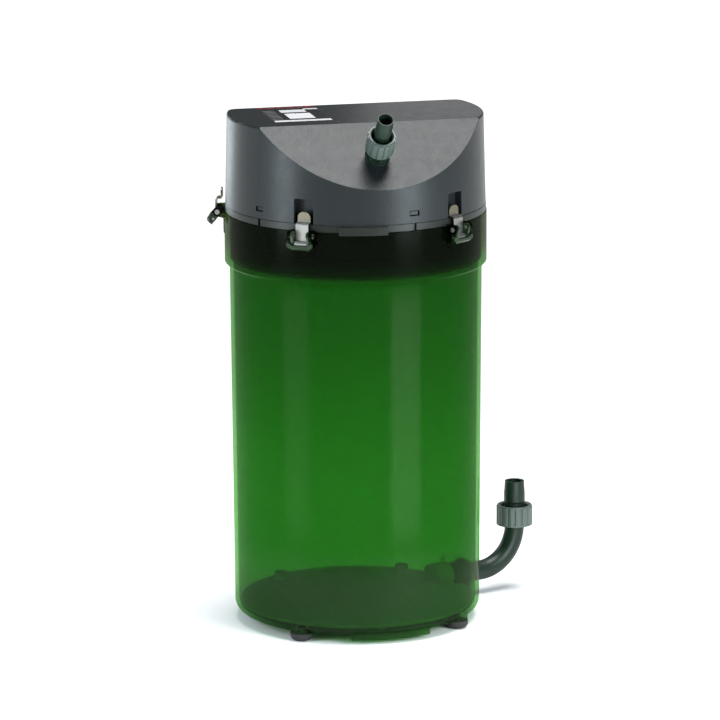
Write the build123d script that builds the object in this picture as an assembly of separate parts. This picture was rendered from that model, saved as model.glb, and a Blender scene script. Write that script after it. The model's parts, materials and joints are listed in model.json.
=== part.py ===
from build123d import *
import os
from math import atan2, cos, hypot, radians, sin, tan

# External canister filter for an aquarium: a round translucent canister, a pump head that plugs
# into its collar, four over-centre latches, an inlet elbow low at the side and an outlet on top.
# Millimetres. The origin is on the canister's axis at the floor, +Z is up, and the front, with
# the sloped face and the outlet, looks along -Y. A bearing is an angle about +Z from the front,
# positive towards +X. Unless it says otherwise, a piece is made at the front and then turned
# to its bearing.

# ---------------------------------------------------------------- driving dimensions
TOTAL_HEIGHT = 400.0
FOOT_HEIGHT = 6.2            # the canister's underside above the floor
WALL = 3.0

BODY_RADIUS_LOW = 95.7       # the body tapers for moulding
BODY_RADIUS_HIGH = 97.7
BODY_TOP = 281.0
CORNER_RADIUS = 8.5          # between the body and its underside
COLLAR_RADIUS = 101.5
COLLAR_BOTTOM = 285.0
COLLAR_BORE = 97.2
COLLAR_SHOULDER = 287.0      # inside ledge that the upper screen rests on
RIM = 324.0
FLOOR_TOP = FOOT_HEIGHT + WALL + 0.2

FOOT_RADIUS = 8.75
FOOT_CIRCLE = 88.6
FOOT_BEARINGS = (-42, 48, 138, -132)

SEAM = 330.0                 # top of the head's flange, bottom of the head's shell
FLANGE_RADIUS = 101.0
FLANGE_BORE = 80.0
SHELL_RADIUS_LOW = 100.8
SHELL_RADIUS_TOP = 99.1
SLOPE_TOP = 48.5             # the top face ends this far in front of the axis
SLOPE_FOOT = 100.2           # the slope meets the front wall this far in front of the axis
SLOPE_FOOT_HEIGHT = 356.5
REAR_WALL = 37.5             # the upper tier's flat back is this far behind the axis
DECK = 352.0                 # top of the lower tier behind that wall
REAR_CORNER = 8.0

NOZZLE_FORWARD = 75.0        # where the outlet's axis crosses the slope
INLET_BEARING = 110
INLET_HEIGHT = 18.0
INLET_REACH = 150.0          # the inlet barb's upright axis from the canister's axis
INLET_BEND = 33.0
INLET_TUBE = 7.75

LATCH_BEARINGS = {"front_right": 36, "front_left": -36, "rear_right": 108, "rear_left": -108}
LATCH_REST_OPENING = {"front_right": 0, "front_left": 0, "rear_right": 0, "rear_left": 42}
PIVOT_OUT = 106.5            # the lever's pivot, outwards and up
PIVOT_UP = 322.0
LINK_ARM = 7.0               # from that pivot to the strap's pivot on the lever
LINK_ANGLE = 12.0            # the closed strap pivot lies this far inward of straight below
LINK_OUT = PIVOT_OUT - LINK_ARM * sin(radians(LINK_ANGLE))
LINK_UP = PIVOT_UP - LINK_ARM * cos(radians(LINK_ANGLE))
PIVOT_PIN = 1.25
LINK_PIN = 1.0
RUNNING = 0.05               # radial clearance of each pin in what turns on it

SLOT_WIDTH = 1.6             # the screens' slots
SLOT_LENGTH = 20.0
SLOT_PITCH = 6.0             # from row to row
SLOT_STEP = 24.0             # from slot to slot along a row

SHAFT_RADIUS = 1.5
WELL_RADIUS = 15.5
CHAMBER_RADIUS = 36.0
CHAMBER_WALL = 4.0

# ---------------------------------------------------------------- frames and helpers
# Side view of a piece at the front: the sketch's x is outwards from the axis, its y is up.
SIDE = Plane(origin=(0, 0, 0), x_dir=(0, -1, 0), z_dir=(-1, 0, 0))

SLOPE_RUN = SLOPE_FOOT - SLOPE_TOP
SLOPE_DROP = TOTAL_HEIGHT - SLOPE_FOOT_HEIGHT
SLOPE_TILT = atan2(SLOPE_DROP, SLOPE_RUN)
SLOPE_NORMAL = (0, -sin(SLOPE_TILT), cos(SLOPE_TILT))
NOZZLE_UP = TOTAL_HEIGHT - (NOZZLE_FORWARD - SLOPE_TOP) * tan(SLOPE_TILT)
# The outlet's own frame: its z runs out of the slope, square to it.
NOZZLE = Plane(origin=(0, -NOZZLE_FORWARD, NOZZLE_UP), x_dir=(1, 0, 0), z_dir=SLOPE_NORMAL)


def turned(points, arc=360):
    """A solid of revolution about Z from a closed outline of (radius, height) points."""
    outline = Polyline(*[(r, 0, z) for r, z in points], close=True)
    return revolve(make_face(outline), Axis.Z, arc)


def ring(inner, outer, low, high):
    """A plain ring about Z."""
    return turned([(inner, low), (outer, low), (outer, high), (inner, high)])


def at_bearing(shape, bearing):
    """A piece made at the front, turned to its bearing."""
    return Rot(0, 0, bearing) * shape


def round_the_axis(shape, bearings):
    """Copies of a piece made at the front, one at each bearing."""
    return [at_bearing(shape, bearing) for bearing in bearings]


def front_box(near, far, half_width, low, high):
    """A box at the front, from near to far out of the axis."""
    return Pos(0, -(near + far) / 2, (low + high) / 2) * Box(2 * half_width, far - near, high - low)


def post(x, y, radius, low, high):
    """An upright cylinder."""
    return Pos(x, y, (low + high) / 2) * Cylinder(radius, high - low)


def cross_pin(out, up, radius, near, far):
    """A cylinder across the front, parallel to X, from x = near to x = far."""
    return Pos((near + far) / 2, -out, up) * Rot(0, 90, 0) * Cylinder(radius, far - near)


def side_plate(sketch, near, far):
    """A side-view sketch given its thickness, from x = near to x = far."""
    return Pos((near + far) / 2, 0, 0) * extrude(SIDE * sketch, (far - near) / 2, both=True)


def outward(shape, height):
    """A piece turned about Z, laid so that its Z points out of the front at this height."""
    return Pos(0, 0, height) * Rot(90, 0, 0) * shape


def slotted_disc(radius, rim):
    """A disc sketch with rows of narrow slots inside its rim."""
    columns = int(radius // SLOT_STEP)
    rows = int(radius // SLOT_PITCH)
    xs = [i * SLOT_STEP for i in range(-columns, columns + 1)]
    ys = [j * SLOT_PITCH for j in range(-rows, rows + 1)]
    inside = [(x, y) for x in xs for y in ys if hypot(abs(x) + SLOT_LENGTH / 2, y) < radius - rim]
    return Circle(radius) - [Pos(x, y) * SlotOverall(SLOT_LENGTH, SLOT_WIDTH) for x, y in inside]


def union_nut(radius, height, thread, thread_depth, mouth, ribs):
    """A ribbed hose nut about Z from 0 to its height: wide thread below, narrower mouth above."""
    groove = 0.9
    grip = extrude(RegularPolygon(radius, ribs), height - 1.2)
    grip = grip + Pos(0, 0, height - 1.2) * extrude(Circle(radius * cos(radians(180 / ribs)) - 0.6), 1.2)
    grooves = [Rot(0, 0, (i + 0.5) * 360 / ribs) * post(radius * 0.99, 0, groove, 1.5, height + 1)
               for i in range(ribs)]
    bore = turned([(0, -1), (thread, -1), (thread, thread_depth), (mouth, thread_depth + 0.01),
                   (mouth, height - 0.8), (mouth + 0.8, height), (mouth + 0.8, height + 1), (0, height + 1)])
    return grip - grooves - bore


# ---------------------------------------------------------------- canister and base
PAD_PROUD = 0.8
PAD_RADIUS = 10.0
PAD_CENTRE = 313.5
EAR_INNER = 7.7
EAR_OUTER = 10.0
EAR_RADIUS = 3.6
PORT_BORE = 9.8
PORT_FACE = 98.5
PORT_BACK = 88.0
FOOT_STEM = 3.0


def latch_ears():
    """The pad behind a latch, and the two ears that hold its lever's stub pins."""
    outline = Pos(0, PAD_CENTRE) * Circle(PAD_RADIUS)
    outline = outline + Pos(0, (PAD_CENTRE + RIM) / 2) * Rectangle(2 * PAD_RADIUS, RIM - PAD_CENTRE)
    pad = extrude(Plane.XZ.offset(PIVOT_OUT - 8) * outline, 8)
    pad = pad & ring(COLLAR_BORE, COLLAR_RADIUS + PAD_PROUD, COLLAR_BOTTOM, RIM - 0.4)
    top = PIVOT_UP + EAR_RADIUS
    root = COLLAR_RADIUS - 2
    clear = FLANGE_RADIUS + 0.6
    web = Polygon((root, PIVOT_UP - 5.5), (PIVOT_OUT, PIVOT_UP - EAR_RADIUS), (PIVOT_OUT, top), (clear, top),
                  (clear, RIM), (root, RIM), align=None)
    ear = web + Pos(PIVOT_OUT, PIVOT_UP) * Circle(EAR_RADIUS)
    ears = [side_plate(ear, EAR_INNER, EAR_OUTER), side_plate(ear, -EAR_OUTER, -EAR_INNER)]
    return [pad] + ears


def make_canister():
    outer = turned([(0, FOOT_HEIGHT), (BODY_RADIUS_LOW, FOOT_HEIGHT), (BODY_RADIUS_HIGH, BODY_TOP),
                    (COLLAR_RADIUS, COLLAR_BOTTOM), (COLLAR_RADIUS, RIM), (0, RIM)])
    outer = fillet(outer.edges().filter_by(GeomType.CIRCLE).sort_by(Axis.Z)[0], CORNER_RADIUS)
    inner = turned([(0, FLOOR_TOP), (BODY_RADIUS_LOW - WALL, FLOOR_TOP), (BODY_RADIUS_HIGH - WALL, BODY_TOP),
                    (BODY_RADIUS_HIGH - WALL, COLLAR_SHOULDER), (COLLAR_BORE, COLLAR_SHOULDER),
                    (COLLAR_BORE, RIM + 1), (0, RIM + 1)])
    inner = fillet(inner.edges().filter_by(GeomType.CIRCLE).sort_by(Axis.Z)[0], CORNER_RADIUS - WALL + 0.5)
    canister = outer - inner

    seat = post(0, -FOOT_CIRCLE, FOOT_RADIUS - 0.35, FOOT_HEIGHT, FLOOR_TOP + 2.6)
    seat = seat & post(0, 0, BODY_RADIUS_LOW + 0.3, 0, COLLAR_BOTTOM)
    canister = canister + round_the_axis(seat, FOOT_BEARINGS)
    stem_hole = post(0, -FOOT_CIRCLE, FOOT_STEM + RUNNING, FOOT_HEIGHT - 1, FOOT_HEIGHT + 4.3)
    canister = canister - round_the_axis(stem_hole, FOOT_BEARINGS)

    tab_from, tab_arc = -16, 40
    tab_inner, tab_outer, tab_low = 85.0, 93.5, 3.0
    tab = turned([(tab_inner, tab_low), (tab_outer - 1, tab_low), (tab_outer, tab_low + 1),
                  (tab_outer, FLOOR_TOP - 1), (tab_inner, FLOOR_TOP - 1)], tab_arc)
    canister = canister + at_bearing(tab, tab_from - 90)

    for piece in latch_ears():
        canister = canister + round_the_axis(piece, LATCH_BEARINGS.values())
    pin_hole = cross_pin(PIVOT_OUT, PIVOT_UP, PIVOT_PIN + RUNNING, -EAR_OUTER - 1, EAR_OUTER + 1)
    canister = canister - round_the_axis(pin_hole, LATCH_BEARINGS.values())

    boss_width, boss_height = 27.0, 26.5
    boss = Pos(0, INLET_HEIGHT + 0.3) * RectangleRounded(boss_width, boss_height, 5)
    boss = extrude(Plane.XZ.offset(PORT_BACK) * boss, PORT_FACE - PORT_BACK)
    port = outward(post(0, 0, PORT_BORE, PORT_BACK - 1, PORT_FACE + 1), INLET_HEIGHT)
    return canister + at_bearing(boss, INLET_BEARING) - at_bearing(port, INLET_BEARING)


def make_feet():
    foot = turned([(0, 0), (FOOT_RADIUS, 0), (FOOT_RADIUS, FOOT_HEIGHT), (FOOT_STEM, FOOT_HEIGHT),
                   (FOOT_STEM, FOOT_HEIGHT + 4), (0, FOOT_HEIGHT + 4)])
    foot = fillet(foot.edges().filter_by(GeomType.CIRCLE).sort_by(Axis.Z)[0], 4.5)
    return Compound(round_the_axis(Pos(0, -FOOT_CIRCLE, 0) * foot, FOOT_BEARINGS))


SCREEN_LOW = 12.6
SCREEN_HIGH = 14.8
SCREEN_RADIUS = 91.0
GRIP_BEARINGS = (140, -142)
GRIP_RADIUS = 5.2
GRIP_TOP = 21.5


def make_bottom_screen():
    screen = Pos(0, 0, SCREEN_LOW) * extrude(slotted_disc(SCREEN_RADIUS, 13), SCREEN_HIGH - SCREEN_LOW)
    legs = round_the_axis(post(0, -81.5, 3.2, FLOOR_TOP, SCREEN_LOW + 0.5), (0, 60, 180, -120, -60))
    grips = round_the_axis(post(0, -78, GRIP_RADIUS, SCREEN_LOW, GRIP_TOP), GRIP_BEARINGS)
    # A hood over the inlet takes the incoming water down under the screen.
    hood_inner, hood_outer, hood_back, hood_front = 9.5, 11.5, 70.0, 85.0
    base = front_box(hood_back - 3, SCREEN_RADIUS - 1, 15, SCREEN_LOW, SCREEN_HIGH)
    shell = outward(post(0, 0, hood_outer, hood_back, hood_front), INLET_HEIGHT)
    hollow = outward(post(0, 0, hood_inner, hood_back + 2, hood_front + 1), INLET_HEIGHT)
    below = front_box(hood_back - 5, SCREEN_RADIUS + 2, 20, 0, SCREEN_LOW)
    mouth = front_box(hood_back + 2, hood_front - 1, hood_inner - 1, SCREEN_LOW - 1, INLET_HEIGHT)
    notch = front_box(hood_front - 1, SCREEN_RADIUS + 5, 15.5, SCREEN_LOW - 1, INLET_HEIGHT)
    screen = screen + legs + grips
    screen = screen + at_bearing(base + (shell - below), INLET_BEARING)
    return screen - [at_bearing(hollow - below, INLET_BEARING), at_bearing(mouth, INLET_BEARING),
                     at_bearing(notch, INLET_BEARING)]


def make_top_screen():
    radius, rim, thickness = COLLAR_BORE - 0.6, 7, 2.4
    return Pos(0, 0, COLLAR_SHOULDER) * extrude(slotted_disc(radius, rim), thickness)


# ---------------------------------------------------------------- inlet
BARB_LOW = 51.0
BARB_TOP = 87.0
INLET_BORE = 5.6
INLET_BARB = 8.4             # the barb's largest radius, for hose of 16 mm bore
INLET_THREAD = 11.9
INLET_NUT_LOW = 51.5
INLET_NUT_HEIGHT = 16.0


def make_inlet_elbow():
    inner_end = 86.0
    bend_start = INLET_REACH - INLET_BEND
    bend_top = INLET_HEIGHT + INLET_BEND
    path = SIDE * (Line((inner_end, INLET_HEIGHT), (bend_start, INLET_HEIGHT))
                   + RadiusArc((bend_start, INLET_HEIGHT), (INLET_REACH, bend_top), -INLET_BEND)
                   + Line((INLET_REACH, bend_top), (INLET_REACH, bend_top + 4)))
    start = Plane(origin=path @ 0, z_dir=path % 0)
    barb = turned([(0, BARB_LOW - 1), (INLET_TUBE, BARB_LOW - 1), (INLET_THREAD, BARB_LOW + 1.8),
                   (INLET_THREAD, 60.0), (7.5, 60.0), (7.5, 69.0), (INLET_BARB, 70.5), (INLET_BARB, 76.5),
                   (7.7, BARB_TOP), (0, BARB_TOP)])
    bead = outward(post(0, 0, 10.0, 100.7, 102.7), INLET_HEIGHT)
    outside = sweep(start * Circle(INLET_TUBE), path) + Pos(0, -INLET_REACH, 0) * barb + bead
    bore = sweep(start * Circle(INLET_BORE), path)
    bore = bore + post(0, -INLET_REACH, INLET_BORE, BARB_LOW, BARB_TOP + 1)
    return at_bearing(outside - bore, INLET_BEARING)


def make_inlet_grommet():
    lip = 12.0
    sleeve = turned([(INLET_TUBE, PORT_BACK), (PORT_BORE, PORT_BACK), (PORT_BORE, PORT_FACE), (lip, PORT_FACE),
                     (lip, PORT_FACE + 1.4), (lip - 0.6, PORT_FACE + 2.0), (INLET_TUBE, PORT_FACE + 2.0)])
    return at_bearing(outward(sleeve, INLET_HEIGHT), INLET_BEARING)


def make_inlet_nut():
    nut = union_nut(14.6, INLET_NUT_HEIGHT, 12.2, 8.9, 11.2, 16)
    return at_bearing(Pos(0, -INLET_REACH, INLET_NUT_LOW) * nut, INLET_BEARING)


# ---------------------------------------------------------------- pump head
WINDOW_HALF = 8.0
WINDOW_TOP = 349.0
SNAP_BEARINGS = (-59.5, 13.5)
SCREW_BEARINGS = (72, -72, 150, -150)
SCREW_CIRCLE = 88.0
LABEL_X = (-70.0, -24.0)
LABEL_Y = (-31.0, 26.0)
LABEL_RECESS = 0.5
STRIP_X = (-71.0, -22.5)
STRIP_Y = (30.0, 35.5)
GLAND_X = -45.0
GLAND_UP = 376.0


def shell_radius(height):
    """The shell wall's outside radius at a height."""
    share = (height - SEAM) / (TOTAL_HEIGHT - SEAM)
    return SHELL_RADIUS_LOW + share * (SHELL_RADIUS_TOP - SHELL_RADIUS_LOW)


def shell_block(inset, bottom):
    """The head's outer form, moved inwards everywhere by inset, down to a flat bottom."""
    deck = DECK - inset
    top = TOTAL_HEIGHT - inset
    back = REAR_WALL - inset
    reach = 2 * SHELL_RADIUS_LOW
    deck_radius = shell_radius(deck) - inset
    upper = turned([(0, deck), (deck_radius, deck), (shell_radius(top) - inset, top), (0, top)])
    behind = Box(2 * reach, reach, reach, align=(Align.CENTER, Align.MIN, Align.CENTER))
    upper = upper - Pos(0, back, deck) * behind
    corners = [e for e in upper.edges() if abs(e.center().X) > 85 and abs(e.center().Y - back) < 0.5
               and abs(e.center().Z - (deck + top) / 2) < 3]
    upper = fillet(corners, REAR_CORNER - inset)
    lower = turned([(0, bottom), (shell_radius(bottom) - inset, bottom), (deck_radius, deck), (0, deck)])
    slope = Plane(origin=(0, -SLOPE_TOP, TOTAL_HEIGHT), x_dir=(1, 0, 0), z_dir=SLOPE_NORMAL).offset(-inset)
    cutter = slope.location * Box(2 * reach, reach, reach, align=(Align.CENTER, Align.CENTER, Align.MIN))
    return upper + lower - cutter


def window_cut(near, far):
    """A latch window: square below, rounded at its two upper corners."""
    opening = Pos(0, (SEAM + WINDOW_TOP) / 2) * Rectangle(2 * WINDOW_HALF, WINDOW_TOP - SEAM)
    opening = fillet(opening.vertices().group_by(Axis.Y)[-1], 1.5)
    return extrude(Plane.XZ.offset(near) * opening, far - near)


def make_head_shell():
    block = shell_block(0, SEAM)
    roof = [e for e in block.edges() if abs(e.center().Z - TOTAL_HEIGHT) < 0.01 and e.center().Y > -40]
    block = fillet(roof, 1.6)
    hollow = shell_block(WALL, SEAM - 2)
    shell = block - hollow

    pocket_back = 93.5
    pockets = front_box(pocket_back - 2, SHELL_RADIUS_LOW - 1.5, WINDOW_HALF + 2, SEAM, WINDOW_TOP + 2)
    posts = post(0, -SCREW_CIRCLE, 4.5, SEAM, DECK - 1.5)
    posts = posts + front_box(SCREW_CIRCLE, 98.5, 1.5, SEAM, DECK - 1.5)
    bearings = LATCH_BEARINGS.values()
    shell = shell + round_the_axis(pockets, bearings) + round_the_axis(posts, SCREW_BEARINGS)
    shell = shell - round_the_axis(window_cut(pocket_back, SHELL_RADIUS_LOW + 2), bearings)
    pilot = post(0, -SCREW_CIRCLE, 2.05, SEAM - 1, 347)
    shell = shell - round_the_axis(pilot, SCREW_BEARINGS)
    snap = front_box(90, SHELL_RADIUS_LOW + 1, 4, 335.5, 339.5)
    shell = shell - round_the_axis(snap, SNAP_BEARINGS)

    nozzle_hole = NOZZLE.location * Cylinder(8.2, 20)
    gland_hole = Pos(GLAND_X, REAR_WALL, GLAND_UP) * Rot(90, 0, 0) * Cylinder(5.6, 20)
    shell = shell - nozzle_hole - gland_hole
    for (x0, x1), (y0, y1) in ((LABEL_X, LABEL_Y), (STRIP_X, STRIP_Y)):
        recess = Pos((x0 + x1) / 2, (y0 + y1) / 2, TOTAL_HEIGHT) * Box(x1 - x0, y1 - y0, 2 * LABEL_RECESS)
        shell = shell - recess
    return shell


def inlay(x_span, y_span):
    """A thin plate with rounded corners lying in a recess of the roof."""
    (x0, x1), (y0, y1) = x_span, y_span
    gap = 0.3
    outline = RectangleRounded(x1 - x0 - gap, y1 - y0 - gap, 1.0)
    low = TOTAL_HEIGHT - LABEL_RECESS
    return Pos((x0 + x1) / 2, (y0 + y1) / 2, low) * extrude(outline, LABEL_RECESS - 0.1)


def make_head_flange():
    flange = ring(FLANGE_BORE, FLANGE_RADIUS, RIM, SEAM)
    rims = flange.edges().filter_by(GeomType.CIRCLE)
    flange = fillet([rim for rim in rims if abs(rim.radius - FLANGE_RADIUS) < 0.01], 0.6)
    tab_from, tab_arc = -20, 21
    tab = turned([(99.5, RIM + 0.8), (FLANGE_RADIUS + 1.0, RIM + 0.8), (FLANGE_RADIUS + 1.0, RIM - 1.5),
                  (FLANGE_RADIUS + 1.8, RIM - 1.5), (FLANGE_RADIUS + 1.8, SEAM - 1.2),
                  (99.5, SEAM - 0.6)], tab_arc)
    flange = flange + at_bearing(tab, tab_from - 90)
    notch = front_box(99.2, FLANGE_RADIUS + 4, 1.25, RIM + 0.6, SEAM + 1)
    hole = post(0, -SCREW_CIRCLE, 2.2, RIM - 1, SEAM + 1)
    flange = flange - round_the_axis(notch, SNAP_BEARINGS) - round_the_axis(hole, SCREW_BEARINGS)
    hook = front_box(94.0, 96.6, 3.4, SEAM - 1, 339) + front_box(96.0, 99.6, 3.4, 336, 339)
    return flange + round_the_axis(hook, SNAP_BEARINGS)


PLATE_LOW = 319.0
SKIRT_BOTTOM = 291.0
SKIRT_RADIUS = 96.5
GROOVE_LOW = 300.0
GROOVE_HIGH = 303.4
SEAL_SECTION = 1.55
COVER_LOW = 292.5
COVER_HIGH = 296.0
SPOUT_HALF = 14.0
SPOUT_REACH = 46.0
STACK_LOW = 334.0
STACK_HIGH = 354.0
STACK_X = 20.0
STACK_Y = 24.0
STACK_SCREWS = [(x, y) for x in (-16, 16) for y in (-20, 20)]


def pump_outline(inset):
    """The pump chamber in plan: a circle with a spout to the front."""
    spout = Pos(0, -(SPOUT_REACH - inset) / 2) * Rectangle(2 * (SPOUT_HALF - inset), SPOUT_REACH - inset)
    return Circle(CHAMBER_RADIUS + CHAMBER_WALL - inset) + spout


def make_head_base():
    skirt_inner, groove = 93.0, 94.0
    base = turned([(0, PLATE_LOW), (skirt_inner, PLATE_LOW), (skirt_inner, SKIRT_BOTTOM),
                   (SKIRT_RADIUS - 0.8, SKIRT_BOTTOM), (SKIRT_RADIUS, SKIRT_BOTTOM + 0.8),
                   (SKIRT_RADIUS, GROOVE_LOW), (groove, GROOVE_LOW), (groove, GROOVE_HIGH),
                   (SKIRT_RADIUS, GROOVE_HIGH), (SKIRT_RADIUS, RIM), (0, RIM)])
    wall = pump_outline(0) - pump_outline(CHAMBER_WALL)
    base = base + Pos(0, 0, COVER_HIGH) * extrude(wall, PLATE_LOW + 1 - COVER_HIGH)
    base = base + [post(x, y, 4.0, RIM - 1, STACK_LOW) for x, y in STACK_SCREWS]
    ribs = front_box(CHAMBER_RADIUS + CHAMBER_WALL - 1, 94, 1.2, PLATE_LOW - 9, PLATE_LOW + 1)
    base = base + round_the_axis(ribs, (54, -54, 108, -108, 180))
    base = base - [post(x, y, 1.65, RIM + 1, STACK_LOW + 1) for x, y in STACK_SCREWS]
    base = base - post(0, 0, WELL_RADIUS - 1.5, PLATE_LOW - 1, RIM + 1)
    base = base - round_the_axis(post(0, -SCREW_CIRCLE, 2.2, PLATE_LOW - 1, RIM + 1), SCREW_BEARINGS)
    throat = NOZZLE.location * Pos(0, 0, -74) * Cylinder(5.5, 26)
    return base - (throat & post(0, 0, 60, PLATE_LOW - 2, RIM + 2))


def make_sealing_ring():
    centre = SKIRT_RADIUS - 0.9
    section = Plane.XZ * Pos(centre, (GROOVE_LOW + GROOVE_HIGH) / 2) * Circle(SEAL_SECTION)
    return revolve(section, Axis.Z)


def make_pump_cover():
    hub, eye = 4.5, 13.0
    cover = Pos(0, 0, COVER_LOW) * extrude(pump_outline(0), COVER_HIGH - COVER_LOW)
    cover = cover - post(0, 0, eye, COVER_LOW - 1, COVER_HIGH + 1)
    spokes = round_the_axis(front_box(hub - 1, eye + 1, 1.4, COVER_LOW, COVER_HIGH), (0, 120, -120))
    cover = cover + spokes + post(0, 0, hub, COVER_LOW, COVER_HIGH + 2)
    return cover - post(0, 0, 3.0, COVER_LOW + 1.2, COVER_HIGH + 3)


def make_rotor_well():
    """A thin cup over the rotor, with a socket for the rear bush under its closed top."""
    top, inner, socket = 374.0, WELL_RADIUS - 1.5, 5.05
    return turned([(inner, RIM), (WELL_RADIUS + 2, RIM), (WELL_RADIUS + 2, RIM + 2), (WELL_RADIUS, RIM + 2),
                   (WELL_RADIUS, top), (0, top), (0, top - 2), (socket, top - 2), (socket, top - 7),
                   (socket + 2, top - 7), (socket + 2, top - 1.5), (inner, top - 1.5)])


def make_bush(outer, low, high):
    return ring(SHAFT_RADIUS + 0.02, outer, low, high)


MAGNET_BORE = 3.2
MAGNET_RADIUS = 12.6
MAGNET_LOW = 326.0
MAGNET_HIGH = 360.0
WHEEL_LOW = 300.0
WHEEL_PLATE = 312.0
WHEEL_TOP = 314.0


def make_rotor_magnet():
    return ring(MAGNET_BORE, MAGNET_RADIUS, MAGNET_LOW, MAGNET_HIGH)


def make_impeller_wheel():
    """Hub through the magnet, a disc, and six straight blades hanging from it."""
    bore = SHAFT_RADIUS + RUNNING
    wheel, neck, hub = 24.0, 10.0, 5.0
    body = turned([(bore, WHEEL_LOW), (hub, WHEEL_LOW), (hub, WHEEL_PLATE), (wheel, WHEEL_PLATE),
                   (wheel, WHEEL_TOP), (neck, WHEEL_TOP), (neck, MAGNET_LOW), (MAGNET_BORE, MAGNET_LOW),
                   (MAGNET_BORE, MAGNET_HIGH), (bore, MAGNET_HIGH)])
    blade = front_box(hub - 1, wheel, 0.9, WHEEL_LOW, WHEEL_PLATE + 0.5)
    return body + round_the_axis(blade, range(0, 360, 60))


def make_stator_core():
    """A laminated U core: a bored pole block, two legs and a yoke."""
    thickness = STACK_HIGH - STACK_LOW
    leg_width, leg_end, yoke_end = 10.0, 60.0, 70.0
    outline = Rectangle(2 * STACK_X, 2 * STACK_Y)
    leg = Rectangle(leg_end, leg_width)
    for side in (-1, 1):
        outline = outline + Pos(-leg_end / 2, side * (STACK_Y - leg_width / 2)) * leg
    outline = outline + Pos(-(leg_end + yoke_end) / 2, 0) * Rectangle(yoke_end - leg_end, 2 * STACK_Y)
    outline = outline - Circle(WELL_RADIUS + 0.3) - [Pos(x, y) * Circle(1.8) for x, y in STACK_SCREWS]
    return Pos(0, 0, STACK_LOW) * extrude(outline, thickness)


def make_stator_coils():
    leg_y = STACK_Y - 5.0
    middle = (STACK_LOW + STACK_HIGH) / 2
    coil = Box(32, 23.6, 36)
    coil = fillet(coil.edges().filter_by(Axis.X), 4.0) - Box(40, 10.4, STACK_HIGH - STACK_LOW + 0.4)
    return Compound([Pos(-40, side * leg_y, middle) * coil for side in (-1, 1)])


def pan_screw(shank, length, head, head_height):
    """A screw about Z with its shank from 0 to its length and its slotted head below 0."""
    body = turned([(0, -head_height), (head - 0.8, -head_height), (head, -head_height + 0.8), (head, 0),
                   (shank, 0), (shank, length), (0, length)])
    slots = Box(1.0, head * 1.2, 1.6) + Box(head * 1.2, 1.0, 1.6)
    return body - Pos(0, 0, -head_height) * slots


def make_head_screws():
    screw = Pos(0, -SCREW_CIRCLE, PLATE_LOW) * pan_screw(2.0, 26, 3.8, 2.6)
    return Compound(round_the_axis(screw, SCREW_BEARINGS))


def make_stator_screws():
    screw = Pos(0, 0, STACK_HIGH) * Rot(180, 0, 0) * pan_screw(1.6, 27, 3.0, 2.2)
    return Compound([Pos(x, y, 0) * screw for x, y in STACK_SCREWS])


# ---------------------------------------------------------------- outlet
NOZZLE_LENGTH = 44.0
NOZZLE_BORE = 4.7
NOZZLE_BARB = 6.4            # the barb's largest radius, for hose of 12 mm bore
NOZZLE_NUT_LOW = 9.6
NOZZLE_NUT_HEIGHT = 15.9
SOCKET_DEPTH = -13.0
SOCKET_TOP = -5.2


def make_outlet_duct():
    duct = turned([(5.5, -88), (8.5, -88), (8.5, -17), (10.0, -15), (10.0, SOCKET_TOP), (8.1, SOCKET_TOP),
                   (8.1, SOCKET_DEPTH), (5.5, SOCKET_DEPTH)])
    below = Pos(0, 0, RIM) * Box(200, 200, 200, align=(Align.CENTER, Align.CENTER, Align.MAX))
    return NOZZLE.location * duct - below


def make_outlet_seal():
    return NOZZLE.location * ring(8.05, 9.8, SOCKET_TOP, -WALL - 0.05)


def make_outlet_nozzle():
    barb_end = NOZZLE_LENGTH
    nozzle = turned([(NOZZLE_BORE, SOCKET_DEPTH + 0.3), (8.0, SOCKET_DEPTH + 0.3), (8.0, 0), (9.4, 0),
                     (9.4, 1.0), (7.6, 1.6), (7.6, 6.4), (9.6, 7.2), (9.6, 8.6), (8.4, 9.2), (8.4, 17.5),
                     (5.9, 17.5), (5.9, 27.5), (NOZZLE_BARB, 28.5), (NOZZLE_BARB, 35.0), (6.1, barb_end),
                     (5.4, barb_end), (NOZZLE_BORE, barb_end - 3)])
    ribs = round_the_axis(front_box(7.0, 9.8, 1.1, 0.6, 8.4), (0, 120, -120))
    return NOZZLE.location * (nozzle + ribs)


def make_outlet_nut():
    nut = union_nut(11.0, NOZZLE_NUT_HEIGHT, 8.7, 8.3, 8.3, 14)
    return NOZZLE.location * Pos(0, 0, NOZZLE_NUT_LOW) * nut


def make_cord_gland():
    """The rubber grommet that the mains lead enters by, with its clamp collar outside."""
    inner = REAR_WALL - WALL - 0.1
    outer = REAR_WALL + 0.1
    profile = [(3.3, inner - 2.5), (8.5, inner - 2.5), (8.5, inner), (5.5, inner), (5.5, outer),
               (8.2, outer), (8.2, outer + 3), (6.6, outer + 4)]
    for i in range(3):
        start = outer + 4 + 3 * i
        radius = 6.6 - 0.5 * i
        profile += [(radius, start + 1.8), (radius - 1.0, start + 1.8), (radius - 1.0, start + 3),
                    (radius - 0.5, start + 3)]
    profile += [(3.3, outer + 13)]
    return Pos(GLAND_X, 0, GLAND_UP) * Rot(-90, 0, 0) * turned(profile)


# ---------------------------------------------------------------- latches
CHEEK_INNER = 5.5
CHEEK_OUTER = 7.3
STRAP_HALF = 5.2
STRAP_SHEET = 1.0
STRAP_EYE = 2.2
STRAP_FACE = LINK_OUT - STRAP_EYE
SILL_GAP = 0.35
TONGUE_TOP = 339.0
TONGUE_OUT = 98.4
LEVER_LOW = 310.9
LIP_HALF = 10.6
LIP_REACH = 2.8              # the lip's outer face beyond the pivot


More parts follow.
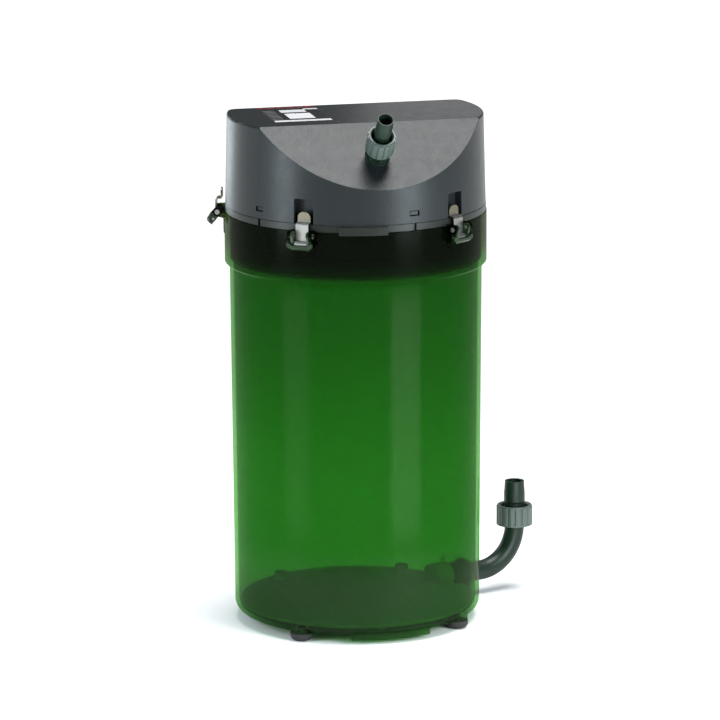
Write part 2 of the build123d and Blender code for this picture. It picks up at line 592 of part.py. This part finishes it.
def make_lever():
    """The lever of a closed latch: two cheeks on the pivot, and a scoop that turns up in a lip."""
    inner = LINK_OUT - 2.05
    sheet = 1.6
    bend = PIVOT_OUT + LIP_REACH - sheet
    cheek = Pos(PIVOT_OUT, PIVOT_UP) * Circle(3.3) + Pos(LINK_OUT, LINK_UP) * Circle(2.1)
    cheek = cheek + Polygon((PIVOT_OUT - 3.2, PIVOT_UP - 0.6), (inner, LINK_UP), (inner, LEVER_LOW),
                            (PIVOT_OUT + 1.2, LEVER_LOW), (PIVOT_OUT + 1.2, LINK_UP),
                            (PIVOT_OUT + 3.2, PIVOT_UP - 0.6), align=None)
    cheeks = [side_plate(cheek, CHEEK_INNER, CHEEK_OUTER), side_plate(cheek, -CHEEK_OUTER, -CHEEK_INNER)]
    floor_top = LINK_UP - STRAP_EYE - 0.4
    scoop = Polygon((inner, floor_top), (inner, LEVER_LOW), (bend - 0.2, LEVER_LOW),
                    (bend + sheet, LEVER_LOW + 1.6), (bend + sheet, LEVER_LOW + 3.4),
                    (bend, LEVER_LOW + 3.4), (bend - 0.4, floor_top), align=None)
    lip = Polygon((PIVOT_OUT - 0.4, LEVER_LOW + 1.6), (PIVOT_OUT - 0.4, LEVER_LOW), (bend - 0.2, LEVER_LOW),
                  (bend + sheet, LEVER_LOW + 1.6), (bend + sheet, LEVER_LOW + 5.6),
                  (bend, LEVER_LOW + 5.6), (bend - 0.4, LEVER_LOW + 2.0), align=None)
    # Seen from the front the lip's two ends sweep up like a bow.
    wing = Polygon((0, LEVER_LOW - 1), (5.5, LEVER_LOW - 1), (LIP_HALF, LEVER_LOW + 2.8),
                   (LIP_HALF, LEVER_LOW + 5.6), (LIP_HALF - 1.4, LEVER_LOW + 5.6),
                   (CHEEK_INNER, LEVER_LOW + 3.4), (0, LEVER_LOW + 3.4), align=None)
    wing = extrude(Plane.XZ.offset(PIVOT_OUT - 3) * wing, 9)
    wings = side_plate(lip, 0, LIP_HALF) & wing
    lever = side_plate(scoop, -CHEEK_OUTER, CHEEK_OUTER) + cheeks + wings + mirror(wings, Plane.YZ)
    lever = lever - cross_pin(PIVOT_OUT, PIVOT_UP, PIVOT_PIN + RUNNING, -20, 20)
    return lever - cross_pin(LINK_OUT, LINK_UP, LINK_PIN + RUNNING / 2, -20, 20)


def make_link_pin():
    return cross_pin(LINK_OUT, LINK_UP, LINK_PIN, -CHEEK_OUTER, CHEEK_OUTER)


def make_strap():
    """The steel strap of a closed latch: an eye on the link pin, an upright sheet, a bend over
    the flange's edge and a rounded tongue that stands up inside the window."""
    sill = SEAM + SILL_GAP
    face = STRAP_FACE + STRAP_SHEET
    sheet = Polygon((STRAP_FACE, LINK_UP), (face, LINK_UP), (face, sill + STRAP_SHEET),
                    (TONGUE_OUT + STRAP_SHEET, sill + STRAP_SHEET), (TONGUE_OUT + STRAP_SHEET, TONGUE_TOP),
                    (TONGUE_OUT, TONGUE_TOP), (TONGUE_OUT, sill), (STRAP_FACE, sill), align=None)
    outer_bend = sheet.vertices().sort_by_distance((face, sill + STRAP_SHEET))[0]
    sheet = fillet(outer_bend, 2.2)
    inner_bend = sheet.vertices().sort_by_distance((STRAP_FACE, sill))[0]
    sheet = fillet(inner_bend, 1.2)
    heel = sheet.vertices().sort_by_distance((TONGUE_OUT, sill))[0]
    sheet = fillet(heel, 1.4)
    blank = side_plate(sheet, -STRAP_HALF, STRAP_HALF)

    low = LINK_UP - 1
    outline = Pos(0, (low + TONGUE_TOP) / 2) * Rectangle(2 * STRAP_HALF, TONGUE_TOP - low)
    outline = fillet(outline.vertices().group_by(Axis.Y)[-1], 4.2)
    blank = blank & extrude(Plane.XZ.offset(TONGUE_OUT - 5) * outline, 20)
    eye = cross_pin(LINK_OUT, LINK_UP, STRAP_EYE, -STRAP_HALF, STRAP_HALF)
    return blank + eye - cross_pin(LINK_OUT, LINK_UP, LINK_PIN + RUNNING, -20, 20)


def opened_lever(shape, opening):
    """A lever piece turned outwards about its pivot."""
    return shape.rotate(Axis((0, -PIVOT_OUT, PIVOT_UP), (-1, 0, 0)), opening)


def opened_strap(shape, opening):
    """The strap carried by its pivot, staying upright."""
    angle = radians(opening - LINK_ANGLE)
    out = PIVOT_OUT + LINK_ARM * sin(angle) - LINK_OUT
    up = PIVOT_UP - LINK_ARM * cos(angle) - LINK_UP
    return Pos(0, -out, up) * shape


def make_pivot_pins():
    stub = cross_pin(PIVOT_OUT, PIVOT_UP, PIVOT_PIN, CHEEK_INNER, EAR_OUTER)
    head = cross_pin(PIVOT_OUT, PIVOT_UP, PIVOT_PIN + 0.7, EAR_OUTER, EAR_OUTER + 0.6)
    one = stub + head
    pair = [one, mirror(one, Plane.YZ)]
    return Compound([at_bearing(pin, bearing) for bearing in LATCH_BEARINGS.values() for pin in pair])


# ---------------------------------------------------------------- all the nodes
def all_nodes():
    nodes = {
        "canister": make_canister(),
        "rubber_feet": make_feet(),
        "bottom_screen": make_bottom_screen(),
        "top_screen": make_top_screen(),
        "inlet_elbow": make_inlet_elbow(),
        "inlet_grommet": make_inlet_grommet(),
        "inlet_union_nut": make_inlet_nut(),
        "head_shell": make_head_shell(),
        "head_flange": make_head_flange(),
        "head_base": make_head_base(),
        "head_screws": make_head_screws(),
        "sealing_ring": make_sealing_ring(),
        "pump_cover": make_pump_cover(),
        "rotor_well": make_rotor_well(),
        "rear_bush": make_bush(5.0, 367.0, 372.0),
        "front_bush": make_bush(2.95, COVER_LOW + 1.2, COVER_HIGH + 2),
        "impeller_shaft": post(0, 0, SHAFT_RADIUS, COVER_LOW + 1.2, 371.8),
        "rotor_magnet": make_rotor_magnet(),
        "impeller_wheel": make_impeller_wheel(),
        "stator_core": make_stator_core(),
        "stator_coils": make_stator_coils(),
        "stator_screws": make_stator_screws(),
        "outlet_duct": make_outlet_duct(),
        "outlet_seal": make_outlet_seal(),
        "outlet_nozzle": make_outlet_nozzle(),
        "outlet_union_nut": make_outlet_nut(),
        "cord_gland": make_cord_gland(),
        "type_label": inlay(LABEL_X, LABEL_Y),
        "trim_strip": inlay(STRIP_X, STRIP_Y),
        "latch_pivot_pins": make_pivot_pins(),
    }
    lever, pin, strap = make_lever(), make_link_pin(), make_strap()
    for place, bearing in LATCH_BEARINGS.items():
        opening = LATCH_REST_OPENING[place]
        nodes[f"latch_lever_{place}"] = at_bearing(opened_lever(lever, opening), bearing)
        nodes[f"latch_link_pin_{place}"] = at_bearing(opened_lever(pin, opening), bearing)
        nodes[f"latch_strap_{place}"] = at_bearing(opened_strap(strap, opening), bearing)
    return nodes


os.makedirs("parts", exist_ok=True)
for name, shape in all_nodes().items():
    export_step(shape, f"parts/{name}.step")
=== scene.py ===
import json
from math import cos, pi, radians, sin

import bmesh
import bpy
from mathutils import Matrix, Vector

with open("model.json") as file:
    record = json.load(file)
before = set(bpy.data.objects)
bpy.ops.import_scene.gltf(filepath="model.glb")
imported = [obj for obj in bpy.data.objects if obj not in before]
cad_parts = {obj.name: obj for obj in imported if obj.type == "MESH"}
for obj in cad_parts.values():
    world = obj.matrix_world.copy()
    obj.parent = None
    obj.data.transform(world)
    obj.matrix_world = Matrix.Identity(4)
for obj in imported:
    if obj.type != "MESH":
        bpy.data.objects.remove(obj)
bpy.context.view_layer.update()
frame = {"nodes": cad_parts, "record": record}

# The frame, the camera and the lights are in metres. Sizes and places within a material are in
# millimetres, on the axes that part.py describes.
SCENE = bpy.context.scene
NODES = frame["nodes"]
MM = 0.001


# ---------------------------------------------------------------- material building
class Paint:
    """A material and short calls that add and join its nodes."""

    def __init__(self, name):
        self.material = bpy.data.materials.new(name)
        self.material.use_nodes = True
        self.tree = self.material.node_tree
        self.tree.nodes.clear()
        self.out = self.add("ShaderNodeOutputMaterial")
        self.place = self.add("ShaderNodeTexCoord").outputs["Object"]

    def add(self, kind, **values):
        """A node; a value is put on the socket, or the property, of that name."""
        node = self.tree.nodes.new(kind)
        for key, value in values.items():
            socket = node.inputs.get(key.replace("_", " "))
            if socket is None:
                setattr(node, key, value)
            else:
                socket.default_value = value
        return node

    def join(self, source, target):
        self.tree.links.new(source, target)

    def noise(self, size_mm, detail=3.0, roughness=0.55, stretch=(1, 1, 1)):
        """Noise with features of about size_mm, drawn out along an axis where stretch is small."""
        place = self.place
        if tuple(stretch) != (1, 1, 1):
            mapping = self.add("ShaderNodeMapping")
            mapping.inputs["Scale"].default_value = stretch
            self.join(place, mapping.inputs["Vector"])
            place = mapping.outputs["Vector"]
        node = self.add("ShaderNodeTexNoise", Scale=1.0 / (size_mm * MM), Detail=detail,
                        Roughness=roughness)
        self.join(place, node.inputs["Vector"])
        return node.outputs["Fac"]

    def cells(self, size_mm):
        """Rounded cells of about size_mm, as spark-eroded moulds leave."""
        node = self.add("ShaderNodeTexVoronoi", Scale=1.0 / (size_mm * MM))
        node.feature = "SMOOTH_F1"
        self.join(self.place, node.inputs["Vector"])
        return node.outputs["Distance"]

    def ramp(self, source, stops):
        """Maps a value to colours through (position, colour) stops."""
        node = self.add("ShaderNodeValToRGB")
        elements = node.color_ramp.elements
        while len(elements) < len(stops):
            elements.new(0.5)
        for element, (position, colour) in zip(elements, stops):
            element.position = position
            element.color = (*colour, 1.0)
        self.join(source, node.inputs["Fac"])
        return node.outputs["Color"]

    def scaled(self, source, low, high, from_low=0.3, from_high=0.7):
        """Maps a value's usual spread to low..high."""
        node = self.add("ShaderNodeMapRange")
        limits = {"From Min": from_low, "From Max": from_high, "To Min": low, "To Max": high}
        for key, value in limits.items():
            node.inputs[key].default_value = value
        self.join(source, node.inputs["Value"])
        return node.outputs["Result"]

    def maths(self, kind, a, b):
        node = self.add("ShaderNodeMath")
        node.operation = kind
        for socket, value in zip(node.inputs, (a, b)):
            if isinstance(value, (int, float)):
                socket.default_value = value
            else:
                self.join(value, socket)
        return node.outputs[0]

    def mix(self, share, a, b):
        """Mixes two colours; share, a and b are sockets or plain values."""
        node = self.add("ShaderNodeMix")
        node.data_type = "RGBA"
        sockets = (node.inputs["Factor"], node.inputs[6], node.inputs[7])
        for socket, value in zip(sockets, (share, a, b)):
            if isinstance(value, (int, float)):
                socket.default_value = value
            elif isinstance(value, tuple):
                socket.default_value = (*value, 1.0)
            else:
                self.join(value, socket)
        return node.outputs[2]

    def along(self, axis):
        """The place's coordinate along an axis, in metres."""
        split = self.add("ShaderNodeSeparateXYZ")
        self.join(self.place, split.inputs[0])
        return split.outputs[axis]

    def climb(self, low_mm, high_mm, at_low=0.0, at_high=1.0):
        """Goes from at_low to at_high between two heights."""
        return self.scaled(self.along("Z"), at_low, at_high, low_mm * MM, high_mm * MM)

    def bands(self, direction, scale, distortion):
        """Even bands across an axis, about pi / 10 / scale metres apart."""
        node = self.add("ShaderNodeTexWave", Scale=scale, Distortion=distortion)
        node.bands_direction = direction
        self.join(self.place, node.inputs["Vector"])
        return node.outputs["Fac"]

    def patch(self, x_mm, y_mm):
        """1 inside a rectangle seen from above, 0 outside; each span is (from, to)."""
        sides = []
        for axis, (low, high) in (("X", x_mm), ("Y", y_mm)):
            inside = self.add("ShaderNodeMath")
            inside.operation = "COMPARE"
            self.join(self.along(axis), inside.inputs[0])
            inside.inputs[1].default_value = (low + high) / 2 * MM
            inside.inputs[2].default_value = (high - low) / 2 * MM
            sides.append(inside.outputs[0])
        return self.maths("MULTIPLY", *sides)

    def bump(self, heights, rounding_mm=0.0):
        """A normal from (height socket, depth in mm) pairs, over softly rounded edges."""
        normal = None
        if rounding_mm:
            bevel = self.add("ShaderNodeBevel", Radius=rounding_mm * MM)
            bevel.samples = 4
            normal = bevel.outputs["Normal"]
        for height, depth_mm in heights:
            node = self.add("ShaderNodeBump", Strength=1.0, Distance=depth_mm * MM)
            self.join(height, node.inputs["Height"])
            if normal is not None:
                self.join(normal, node.inputs["Normal"])
            normal = node.outputs["Normal"]
        return normal

    def surface(self, colour, roughness, normal=None, **values):
        """A Principled shader, with colour and roughness from sockets or plain values."""
        node = self.add("ShaderNodeBsdfPrincipled", **values)
        for key, value in (("Base Color", colour), ("Roughness", roughness)):
            if isinstance(value, (int, float)):
                node.inputs[key].default_value = value
            elif isinstance(value, tuple):
                node.inputs[key].default_value = (*value, 1.0)
            else:
                self.join(value, node.inputs[key])
        if normal is not None:
            self.join(normal, node.inputs["Normal"])
        return node.outputs["BSDF"]

    def done(self, shader):
        self.join(shader, self.out.inputs["Surface"])
        return self.material


def shade(colour, factor):
    """A colour made lighter or darker."""
    return tuple(min(1.0, c * factor) for c in colour)


def moulded(name, colour, roughness, grain_mm=0.5, grain_depth=0.02, mottle=0.12, rounding_mm=0.35,
            parting_lines=(), **values):
    """Moulded plastic: eroded grain, faint flow mottling, scuffs that change the gloss.

    A parting line is a patch, raised by PARTING_DEPTH; values go to the Principled shader.
    """
    paint = Paint(name)
    flow = paint.noise(38, detail=4)
    speck = paint.noise(1.1, detail=2)
    tone = paint.ramp(flow, [(0.3, shade(colour, 1 - mottle)), (0.7, shade(colour, 1 + mottle))])
    tone = paint.mix(paint.scaled(speck, 0.0, 0.16), tone, shade(colour, 1.5))
    scuff = paint.noise(9, detail=6, roughness=0.7)
    rough = paint.scaled(scuff, roughness * 0.92, roughness * 1.10)
    heights = [(paint.cells(grain_mm), grain_depth), (paint.noise(16, detail=2), 0.06)]
    heights += [(paint.patch(*line), PARTING_DEPTH) for line in parting_lines]
    return paint.done(paint.surface(tone, rough, paint.bump(heights, rounding_mm), **values))


# ---------------------------------------------------------------- the materials
SLATE = (0.014, 0.0175, 0.0185)
# A darker, warmer tone for the strap's tongue, which sits in the head's recess.
TONGUE_STEEL = (0.19, 0.175, 0.125)
STRAP_BEND = 331.5           # the strap's tongue, darker and warmer than the rest, begins at this height

# Down the head's wall at the front, and below both top corners of its slope, as (x, y) spans.
HEAD_PARTING_LINES = [((-0.5, 0.5), (-110, -92)), ((-100, -80), (-50.0, -49.0)),
                      ((80, 100), (-50.0, -49.0))]
PARTING_DEPTH = 0.4

# Light that one wall of the canister lets through, and the pigment that shows in it. The high tint is
# darker than the low one, and the collar's tint and pigment are darker still: painted shade under the
# head, which keeps light from above off the canister's top.
LOW_TINT = (0.310, 0.607, 0.260)
HIGH_SHADED_TINT = (0.250, 0.510, 0.215)
FLOW_TINT = (0.20, 0.46, 0.16)
COLLAR_SHADED_TINT = (0.16, 0.20, 0.11)
BODY_PIGMENT = (0.018, 0.090, 0.012)
COLLAR_SHADED_PIGMENT = (0.006, 0.018, 0.004)
PIGMENT_SHARE = 0.09
SLANT_MIRROR = 0.18          # what its surface mirrors at a full slant, on top of the least share


def green_plastic():
    """Clear bottle-green plastic: it lets tinted light through, and mirrors more at a slant. Its tint is
    painted darker towards the top, and its tint and pigment darker still at the collar: painted shade
    under the head.
    """
    paint = Paint("canister_green")
    flow = paint.noise(60, detail=3, stretch=(1, 1, 0.25))
    # Painted shade: the tint darkens from 130 mm up to 280 mm, and more in the collar band above, where
    # the head keeps light off.
    collar_shade = paint.climb(281, 299)
    tint = paint.mix(paint.climb(130, 280), LOW_TINT, HIGH_SHADED_TINT)
    tint = paint.mix(collar_shade, tint, COLLAR_SHADED_TINT)
    tint = paint.mix(paint.scaled(flow, 0.0, 0.10), tint, FLOW_TINT)
    clear = paint.add("ShaderNodeBsdfTransparent")
    paint.join(tint, clear.inputs["Color"])

    swell = paint.noise(45, detail=2, stretch=(1, 1, 0.3))
    ripple = paint.bump([(swell, 0.25), (paint.noise(5, detail=1), 0.004)])
    # The collar's darker pigment is painted shade as well.
    pigment = paint.surface(paint.mix(collar_shade, BODY_PIGMENT, COLLAR_SHADED_PIGMENT), 0.45, ripple,
                            Specular_IOR_Level=0.0)
    wall = paint.add("ShaderNodeMixShader", Fac=PIGMENT_SHARE)
    paint.join(clear.outputs[0], wall.inputs[1])
    paint.join(pigment, wall.inputs[2])

    gloss = paint.add("ShaderNodeBsdfGlossy", Roughness=0.14, Color=(0.98, 1.0, 0.90, 1))
    paint.join(ripple, gloss.inputs["Normal"])
    slant = paint.add("ShaderNodeLayerWeight", Blend=0.5)
    paint.join(ripple, slant.inputs["Normal"])
    rise = paint.maths("POWER", slant.outputs["Facing"], 5.0)
    least = paint.climb(45, 75, 0.011, 0.0035)
    mirror = paint.maths("ADD", paint.maths("MULTIPLY", rise, SLANT_MIRROR), least)
    skin = paint.add("ShaderNodeMixShader")
    paint.join(mirror, skin.inputs["Fac"])
    paint.join(wall.outputs[0], skin.inputs[1])
    paint.join(gloss.outputs[0], skin.inputs[2])
    return paint.done(skin.outputs[0])


def steel(name, colour, roughness, toned_above_mm=None):
    """Stainless steel with fine drawn lines and handling stains; above a height it can take a darker,
    warmer tone.
    """
    paint = Paint(name)
    lines = paint.noise(0.35, detail=2, stretch=(1, 1, 0.05))
    tone = paint.ramp(paint.noise(7, detail=5), [(0.35, shade(colour, 0.9)), (0.65, colour)])
    if toned_above_mm:
        tone = paint.mix(paint.climb(toned_above_mm, toned_above_mm + 1.0), tone, TONGUE_STEEL)
    rough = paint.scaled(lines, roughness * 0.7, roughness * 1.5)
    return paint.done(paint.surface(tone, rough, paint.bump([(lines, 0.006)], 0.25), Metallic=1.0))


def rubber():
    """Matt black rubber with a dusty bloom."""
    paint = Paint("rubber")
    bloom = paint.noise(5, detail=5, roughness=0.7)
    tone = paint.ramp(bloom, [(0.35, (0.010, 0.010, 0.010)), (0.7, (0.030, 0.031, 0.030))])
    normal = paint.bump([(paint.noise(0.5, detail=2), 0.02)], 0.4)
    return paint.done(paint.surface(tone, paint.scaled(bloom, 0.62, 0.85), normal))


def laminations():
    """A stack of thin varnished sheets: fine level lines up the sides."""
    paint = Paint("laminations")
    sheets = paint.bands("Z", 320.0, 0.0)
    rust = paint.noise(4, detail=5)
    tone = paint.mix(sheets, (0.05, 0.05, 0.052), (0.20, 0.20, 0.21))
    tone = paint.mix(paint.scaled(rust, 0.0, 0.35), tone, (0.16, 0.09, 0.05))
    return paint.done(paint.surface(tone, 0.5, paint.bump([(sheets, 0.05)]), Metallic=0.6))


def windings():
    """Enamelled copper wire laid side by side under a coat of varnish."""
    paint = Paint("coil")
    wires = paint.bands("X", 240.0, 0.6)
    tone = paint.ramp(wires, [(0.0, (0.10, 0.025, 0.010)), (1.0, (0.50, 0.17, 0.06))])
    rough = paint.scaled(paint.noise(3), 0.25, 0.45)
    return paint.done(paint.surface(tone, rough, paint.bump([(wires, 0.12)]), Metallic=0.5))


def printed(name, ground, ink, patches, roughness):
    """A printed foil: a ground colour, plain printed patches, a faint emboss and rub marks."""
    paint = Paint(name)
    rub = paint.noise(6, detail=6, roughness=0.75)
    tone = paint.ramp(rub, [(0.3, shade(ground, 0.85)), (0.75, shade(ground, 1.15))])
    for x_mm, y_mm, strength in patches:
        tone = paint.mix(paint.maths("MULTIPLY", paint.patch(x_mm, y_mm), strength), tone, ink)
    normal = paint.bump([(paint.noise(0.6, detail=2), 0.008)], 0.2)
    return paint.done(paint.surface(tone, paint.scaled(rub, roughness * 0.8, roughness * 1.2), normal))


# Blank fields of the label: a front band, the middle field, a back row and a thin line, then
# faint rows at the left that stand for small print.
LABEL_PATCHES = [((-69, -24.6), (-30.2, -23.5), 0.95), ((-55, -35), (-18, 5), 1.0),
                 ((-56, -36), (10, 21), 0.9), ((-36, -25), (20.5, 25), 0.9)]
LABEL_PATCHES += [((-69, -60), (y, y + 1.6), 0.3) for y in (-18, -12, -6, 0, 6, 12, 18)]
STRIP_PATCHES = [((x, x + 5.6), (30.6, 34.9), 0.9) for x in (-70, -62.5, -55, -47.5, -40, -32.5)]


def ceramic():
    """A ground ceramic rod, with fine level rings."""
    paint = Paint("ceramic")
    rings = paint.bands("Z", 900.0, 0.4)
    tone = paint.ramp(paint.noise(3), [(0.3, (0.70, 0.68, 0.62)), (0.7, (0.82, 0.81, 0.77))])
    return paint.done(paint.surface(tone, paint.scaled(rings, 0.12, 0.22), paint.bump([(rings, 0.004)])))


PAINTS = {
    "canister_green": green_plastic(),
    "rubber": rubber(),
    "screen_plastic": moulded("screen_plastic", (0.30, 0.25, 0.24), 0.5),
    "fitting_plastic": moulded("fitting_plastic", (0.008, 0.020, 0.012), 0.38, grain_mm=0.4,
                               Specular_IOR_Level=0.3),
    "nut_plastic": moulded("nut_plastic", (0.075, 0.100, 0.088), 0.38, grain_mm=0.4),
    "head_plastic": moulded("head_plastic", SLATE, 0.36, grain_mm=0.9, grain_depth=0.06, rounding_mm=0.7,
                            parting_lines=HEAD_PARTING_LINES, Specular_IOR_Level=0.25),
    "flange_plastic": moulded("flange_plastic", (0.008, 0.011, 0.008), 0.36, rounding_mm=0.6,
                              Specular_IOR_Level=0.3),
    "base_plastic": moulded("base_plastic", (0.004, 0.004, 0.003), 0.45, grain_mm=3.0, grain_depth=0.006,
                            Specular_IOR_Level=0.3),
    "steel": steel("steel", (0.30, 0.29, 0.28), 0.30),
    "strap_steel": steel("strap_steel", (0.33, 0.33, 0.31), 0.34, toned_above_mm=STRAP_BEND),
    "ceramic": ceramic(),
    "magnet": moulded("magnet", (0.018, 0.018, 0.020), 0.30, grain_mm=0.3),
    "impeller_plastic": moulded("impeller_plastic", (0.62, 0.63, 0.60), 0.32, mottle=0.04),
    "laminations": laminations(),
    "coil": windings(),
    "lever_plastic": moulded("lever_plastic", (0.007, 0.022, 0.006), 0.26, grain_depth=0.006,
                             Specular_IOR_Level=0.4),
    "label": printed("label", (0.006, 0.006, 0.007), (0.80, 0.80, 0.82), LABEL_PATCHES, 0.34),
    "trim": printed("trim", (0.035, 0.010, 0.012), (0.30, 0.012, 0.020), STRIP_PATCHES, 0.34),
}


def paint_nodes():
    """Gives every CAD node the material of its slot."""
    for entry in frame["record"]["subparts"]:
        mesh = NODES[entry["node"]].data
        mesh.materials.clear()
        mesh.materials.append(PAINTS[entry["material_slot"]])


paint_nodes()


# ---------------------------------------------------------------- camera, floor and lights
VIEW_AZIMUTH = radians(-13)
CAMERA_DISTANCE = 4.10
CAMERA_HEIGHT = 1.112
AIM_HEIGHT = 0.204
AIM_RIGHT = 0.003            # the object stands this far left of the view's middle
CAMERA_ROLL = radians(-0.25)
LENS = 269.7
SENSOR_WIDTH = 36.0
VIEW_REACH = 60.0
FLOOR_REACH = 30.0
SKY_STRENGTH = 3.7
SKY_SPREAD = radians(32)
SKY_TILT = radians(7)
ROOM_STRENGTH = 0.12
COOL = (0.80, 0.94, 1.0)
WHITE = (1.0, 1.0, 1.0)

# Upright soft boxes round the object: name, bearing from the camera in degrees, positive to the
# right, distance, width, bottom, top, glow and colour. A glow of 1 is as bright as a lit white wall.
PANELS = [
    ("left_front", -61, 0.70, 0.14, 0.21, 0.70, 17.0, COOL),
    ("right_front", 44, 0.70, 0.26, 0.21, 0.50, 14.6, COOL),
    ("left_rim", -142, 0.80, 0.24, 0.19, 0.70, 4.2, COOL),
    ("right_rim", 152, 0.80, 0.16, 0.19, 0.70, 0.35, COOL),
    ("roof_glow", 170, 0.60, 0.20, 0.43, 0.62, 0.9, WHITE),
    ("low_right", 41, 0.36, 0.16, 0.01, 0.215, 6.0, WHITE),
    ("low_left", -50, 0.36, 0.14, 0.01, 0.215, 2.5, WHITE),
]


def make_camera():
    data = bpy.data.cameras.new("camera")
    data.lens = LENS
    data.sensor_width = SENSOR_WIDTH
    data.clip_end = VIEW_REACH
    camera = bpy.data.objects.new("camera", data)
    SCENE.collection.objects.link(camera)
    right = Vector((cos(VIEW_AZIMUTH), sin(VIEW_AZIMUTH), 0))
    away = Vector((-sin(VIEW_AZIMUTH), cos(VIEW_AZIMUTH), 0))
    camera.location = right * AIM_RIGHT - away * CAMERA_DISTANCE + Vector((0, 0, CAMERA_HEIGHT))
    aim = right * AIM_RIGHT + Vector((0, 0, AIM_HEIGHT))
    look = (aim - camera.location).to_track_quat("-Z", "Y").to_matrix().to_4x4()
    camera.matrix_world = Matrix.Translation(camera.location) @ look @ Matrix.Rotation(CAMERA_ROLL, 4, "Z")
    SCENE.camera = camera


def make_floor():
    mesh = bpy.data.meshes.new("floor")
    form = bmesh.new()
    bmesh.ops.create_grid(form, x_segments=4, y_segments=4, size=FLOOR_REACH)
    form.to_mesh(mesh)
    form.free()
    floor = bpy.data.objects.new("floor", mesh)
    SCENE.collection.objects.link(floor)
    paint = Paint("floor_paint")
    tone = paint.ramp(paint.noise(900, detail=2), [(0.3, (0.90, 0.90, 0.90)), (0.7, (0.92, 0.92, 0.92))])
    mesh.materials.append(paint.done(paint.surface(tone, 0.9, Specular_IOR_Level=0.0)))


def soft_box(name, bearing, distance, width, low, high, glow, colour):
    angle = VIEW_AZIMUTH + radians(bearing)
    place = Vector((distance * sin(angle), -distance * cos(angle), (low + high) / 2))
    aim = Vector((0, 0, place.z))
    data = bpy.data.lights.new(name, "AREA")
    data.shape = "RECTANGLE"
    data.size = width
    data.size_y = high - low
    data.energy = glow * pi * width * (high - low)
    data.color = colour
    light = bpy.data.objects.new(name, data)
    light.visible_camera = False
    light.location = place
    light.rotation_euler = (aim - place).to_track_quat("-Z", "Y").to_euler()
    SCENE.collection.objects.link(light)


def make_lights():
    data = bpy.data.lights.new("sky_panel", "SUN")
    data.energy = SKY_STRENGTH
    data.angle = SKY_SPREAD
    sky = bpy.data.objects.new("sky_panel", data)
    sky.rotation_euler = (0, SKY_TILT, 0)
    SCENE.collection.objects.link(sky)
    for values in PANELS:
        soft_box(*values)


def make_world():
    """White behind the object; a dim room for what its gloss mirrors."""
    world = bpy.data.worlds.new("studio")
    world.use_nodes = True
    SCENE.world = world
    tree = world.node_tree
    tree.nodes.clear()
    out = tree.nodes.new("ShaderNodeOutputWorld")
    seen = tree.nodes.new("ShaderNodeBackground")
    seen.inputs["Color"].default_value = (1.0, 1.0, 1.0, 1)
    room = tree.nodes.new("ShaderNodeBackground")
    room.inputs["Color"].default_value = (0.93, 0.96, 1.0, 1)
    room.inputs["Strength"].default_value = ROOM_STRENGTH
    path = tree.nodes.new("ShaderNodeLightPath")
    pick = tree.nodes.new("ShaderNodeMixShader")
    tree.links.new(path.outputs["Is Camera Ray"], pick.inputs["Fac"])
    tree.links.new(room.outputs[0], pick.inputs[1])
    tree.links.new(seen.outputs[0], pick.inputs[2])
    tree.links.new(pick.outputs[0], out.inputs["Surface"])


make_camera()
make_floor()
make_lights()
make_world()
SCENE.view_settings.view_transform = "Standard"
